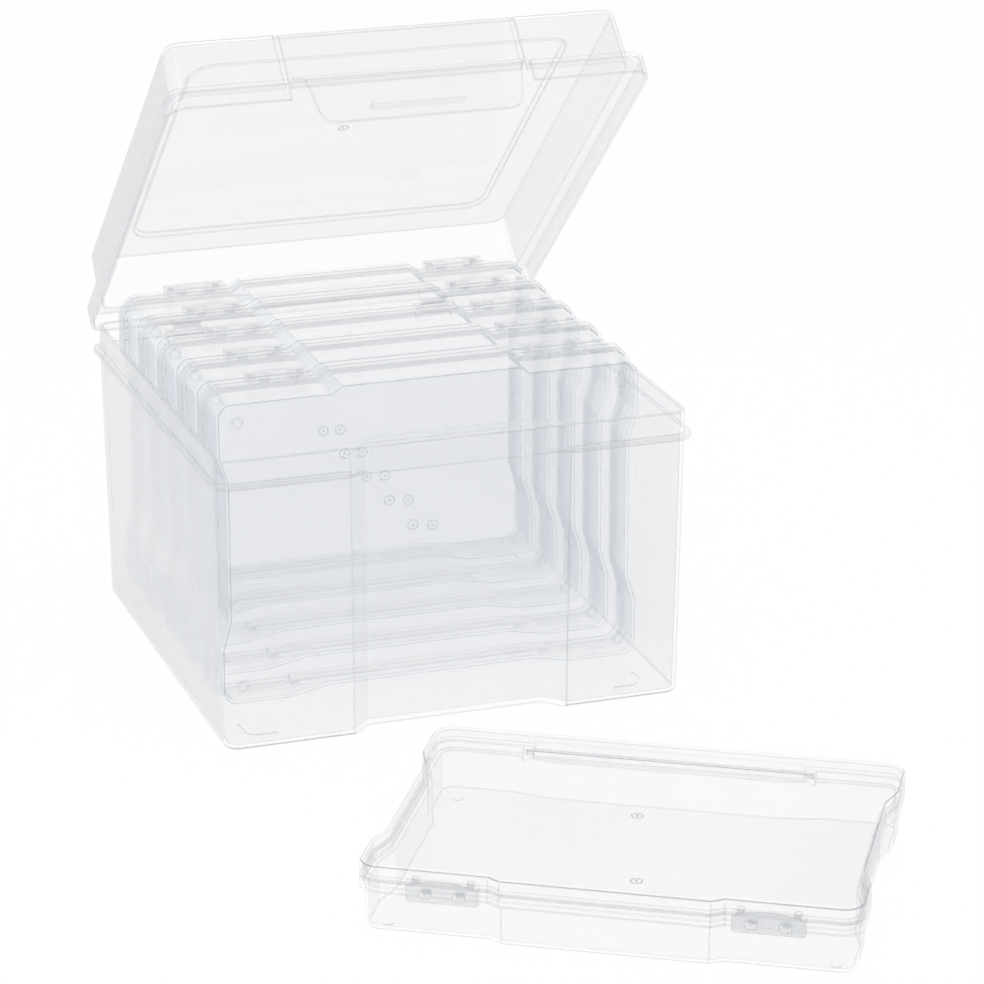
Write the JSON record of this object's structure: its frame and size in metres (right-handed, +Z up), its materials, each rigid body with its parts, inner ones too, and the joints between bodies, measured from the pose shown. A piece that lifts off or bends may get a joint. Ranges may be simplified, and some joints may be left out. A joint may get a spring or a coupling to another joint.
{
  "type": "photo storage box",
  "caption": "Clear hinged-lid storage box with snap-latch photo cases standing in a row, lid open on rear hinges, and a closed case lying in front.",
  "frame": {"origin": "middle of the outer box's flat underside", "axes": "+Z up, -Y towards the user (the latch side of the box), +X to the user's right"},
  "size_m": [0.247, 0.5261, 0.2953],
  "materials": {
    "clear_box": "clear gloss",
    "clear_lid": "clear gloss",
    "clear_case": "clear gloss",
    "clear_latch": "clear gloss"
  },
  "bodies": {
    "outer_box": {"outer_box": "clear_box"},
    "outer_lid": {"outer_lid": "clear_lid"},
    "lid_flap": {"lid_flap": "clear_lid"},
    "case_1": {"case_1_tray": "clear_case", "case_1_lid": "clear_case"},
    "case_1_latch_left": {"case_1_latch_left": "clear_latch"},
    "case_1_latch_right": {"case_1_latch_right": "clear_latch"},
    "case_2": {"case_2_tray": "clear_case", "case_2_lid": "clear_case"},
    "case_2_latch_left": {"case_2_latch_left": "clear_latch"},
    "case_2_latch_right": {"case_2_latch_right": "clear_latch"},
    "case_3": {"case_3_tray": "clear_case", "case_3_lid": "clear_case"},
    "case_3_latch_left": {"case_3_latch_left": "clear_latch"},
    "case_3_latch_right": {"case_3_latch_right": "clear_latch"},
    "case_4": {"case_4_tray": "clear_case", "case_4_lid": "clear_case"},
    "case_4_latch_left": {"case_4_latch_left": "clear_latch"},
    "case_4_latch_right": {"case_4_latch_right": "clear_latch"},
    "case_5": {"case_5_tray": "clear_case", "case_5_lid": "clear_case"},
    "case_5_latch_left": {"case_5_latch_left": "clear_latch"},
    "case_5_latch_right": {"case_5_latch_right": "clear_latch"},
    "case_6_tray": {"case_6_tray": "clear_case"},
    "case_6_lid": {"case_6_lid": "clear_case"},
    "case_6_latch_left": {"case_6_latch_left": "clear_latch"},
    "case_6_latch_right": {"case_6_latch_right": "clear_latch"}
  },
  "joints": [
    {"name": "outer_lid_hinge", "type": "hinge", "parent": "outer_box", "child": "outer_lid", "pos_m": [0, 0.1135, 0.1225], "axis": [-1, 0, 0], "range_deg": [-42, 63]},
    {"name": "lid_flap_flex", "type": "hinge", "parent": "outer_lid", "child": "lid_flap", "pos_m": [0, -0.02005, 0.29415], "axis": [-1, 0, 0], "range_deg": [-1.9, 0]},
    {"name": "case_1_lift", "type": "slide", "parent": "outer_box", "child": "case_1", "axis": [0, 0, 1], "range_m": [0, 0.025]},
    {"name": "case_1_latch_left_hinge", "type": "hinge", "parent": "case_1", "child": "case_1_latch_left", "pos_m": [-0.0625, 0.0977, 0.1491], "axis": [-1, 0, 0], "range_deg": [0, 90]},
    {"name": "case_1_latch_right_hinge", "type": "hinge", "parent": "case_1", "child": "case_1_latch_right", "pos_m": [0.0655, 0.0977, 0.1491], "axis": [-1, 0, 0], "range_deg": [0, 90]},
    {"name": "case_2_lift", "type": "slide", "parent": "outer_box", "child": "case_2", "axis": [0, 0, 1], "range_m": [0, 0.055]},
    {"name": "case_2_latch_left_hinge", "type": "hinge", "parent": "case_2", "child": "case_2_latch_left", "pos_m": [-0.0625, 0.0627, 0.1491], "axis": [-1, 0, 0], "range_deg": [0, 90]},
    {"name": "case_2_latch_right_hinge", "type": "hinge", "parent": "case_2", "child": "case_2_latch_right", "pos_m": [0.0655, 0.0627, 0.1491], "axis": [-1, 0, 0], "range_deg": [0, 90]},
    {"name": "case_3_lift", "type": "slide", "parent": "outer_box", "child": "case_3", "axis": [0, 0, 1], "range_m": [0, 0.088]},
    {"name": "case_3_latch_left_hinge", "type": "hinge", "parent": "case_3", "child": "case_3_latch_left", "pos_m": [-0.0625, 0.0277, 0.1491], "axis": [-1, 0, 0], "range_deg": [0, 90]},
    {"name": "case_3_latch_right_hinge", "type": "hinge", "parent": "case_3", "child": "case_3_latch_right", "pos_m": [0.0655, 0.0277, 0.1491], "axis": [-1, 0, 0], "range_deg": [0, 90]},
    {"name": "case_4_lift", "type": "slide", "parent": "outer_box", "child": "case_4", "axis": [0, 0, 1], "range_m": [0, 0.115]},
    {"name": "case_4_latch_left_hinge", "type": "hinge", "parent": "case_4", "child": "case_4_latch_left", "pos_m": [-0.0625, -0.0073, 0.1491], "axis": [-1, 0, 0], "range_deg": [0, 90]},
    {"name": "case_4_latch_right_hinge", "type": "hinge", "parent": "case_4", "child": "case_4_latch_right", "pos_m": [0.0655, -0.0073, 0.1491], "axis": [-1, 0, 0], "range_deg": [0, 90]},
    {"name": "case_5_lift", "type": "slide", "parent": "outer_box", "child": "case_5", "axis": [0, 0, 1], "range_m": [0, 0.1]},
    {"name": "case_5_latch_left_hinge", "type": "hinge", "parent": "case_5", "child": "case_5_latch_left", "pos_m": [-0.0625, -0.0423, 0.1491], "axis": [-1, 0, 0], "range_deg": [0, 90]},
    {"name": "case_5_latch_right_hinge", "type": "hinge", "parent": "case_5", "child": "case_5_latch_right", "pos_m": [0.0655, -0.0423, 0.1491], "axis": [-1, 0, 0], "range_deg": [0, 90]},
    {"name": "case_6_lift", "type": "slide", "parent": "outer_box", "child": "case_6_tray", "axis": [0, 0, 1], "range_m": [0, 0.15]},
    {"name": "case_6_lid_hinge", "type": "hinge", "parent": "case_6_tray", "child": "case_6_lid", "pos_m": [0.05389, -0.22333, 0.02], "axis": [-0.8545, 0.5195, 0], "range_deg": [0, 110]},
    {"name": "case_6_latch_left_hinge", "type": "hinge", "parent": "case_6_lid", "child": "case_6_latch_left", "pos_m": [-0.07618, -0.31407, 0.0252], "axis": [-0.8545, 0.5195, 0], "range_deg": [0, 90]},
    {"name": "case_6_latch_right_hinge", "type": "hinge", "parent": "case_6_lid", "child": "case_6_latch_right", "pos_m": [0.03319, -0.38056, 0.0252], "axis": [-0.8545, 0.5195, 0], "range_deg": [0, 90]}
  ]
}
